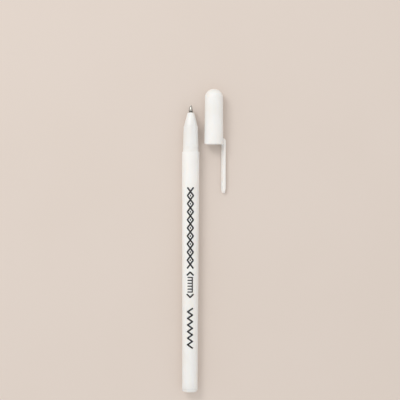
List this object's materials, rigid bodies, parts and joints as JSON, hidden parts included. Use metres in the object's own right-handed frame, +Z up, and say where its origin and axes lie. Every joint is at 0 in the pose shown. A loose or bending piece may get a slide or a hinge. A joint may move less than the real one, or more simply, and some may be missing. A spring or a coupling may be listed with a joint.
{
  "type": "fabric marking pen",
  "caption": "Slim fabric marking pen with a tapered barrel, stepped neck, nose cone and metal ball-point tip; its domed pull-off cap with a long side clip lies beside it.",
  "frame": {"origin": "on the table, under the middle of the box round the pen and the cap that lies beside it", "axes": "+Y along the pen towards its point, +X from the pen towards the cap, +Z up off the table"},
  "size_m": [0.0222, 0.1538, 0.0096],
  "materials": {
    "barrel_white": "smooth white moulded polypropylene, soft gloss",
    "plug_white": "smooth white moulded plastic, soft gloss",
    "nose_white": "smooth white moulded plastic, soft gloss",
    "cap_white": "smooth white moulded polypropylene, soft gloss",
    "tip_metal": "turned nickel silver, bright",
    "ball_metal": "ground hard metal",
    "spring_steel": "drawn stainless wire",
    "holder_plastic": "natural polypropylene",
    "tube_plastic": "clear polypropylene tube",
    "ink_white": "opaque white liquid ink",
    "grease": "clear yellowish grease",
    "float_plastic": "natural polypropylene rod",
    "liner_plastic": "soft white polyethylene",
    "pad_rubber": "soft pale elastomer"
  },
  "bodies": {
    "pen": {"barrel": "barrel_white", "tail_plug": "plug_white", "nose_cone": "nose_white", "point_tip": "tip_metal", "tip_spring": "spring_steel", "tip_holder": "holder_plastic", "ink_tube": "tube_plastic", "ink_charge": "ink_white"},
    "ball": {"tip_ball": "ball_metal"},
    "follower": {"ink_follower": "grease", "follower_float": "float_plastic"},
    "cap": {"cap_shell": "cap_white", "cap_liner": "liner_plastic", "seal_pad": "pad_rubber"}
  },
  "joints": [
    {"name": "cap_pull", "type": "slide", "parent": "pen", "child": "cap", "axis": [0, 1, 0], "range_m": [-0.0038, 0.022]},
    {"name": "ball_roll", "type": "hinge", "parent": "pen", "child": "ball", "pos_m": [-0.00673, 0.06835, 0.0045], "axis": [1, 0, 0], "continuous": true},
    {"name": "follower_travel", "type": "slide", "parent": "pen", "child": "follower", "axis": [0, 1, 0.0037], "range_m": [0, 0.078], "deforming": ["ink_charge"]}
  ]
}
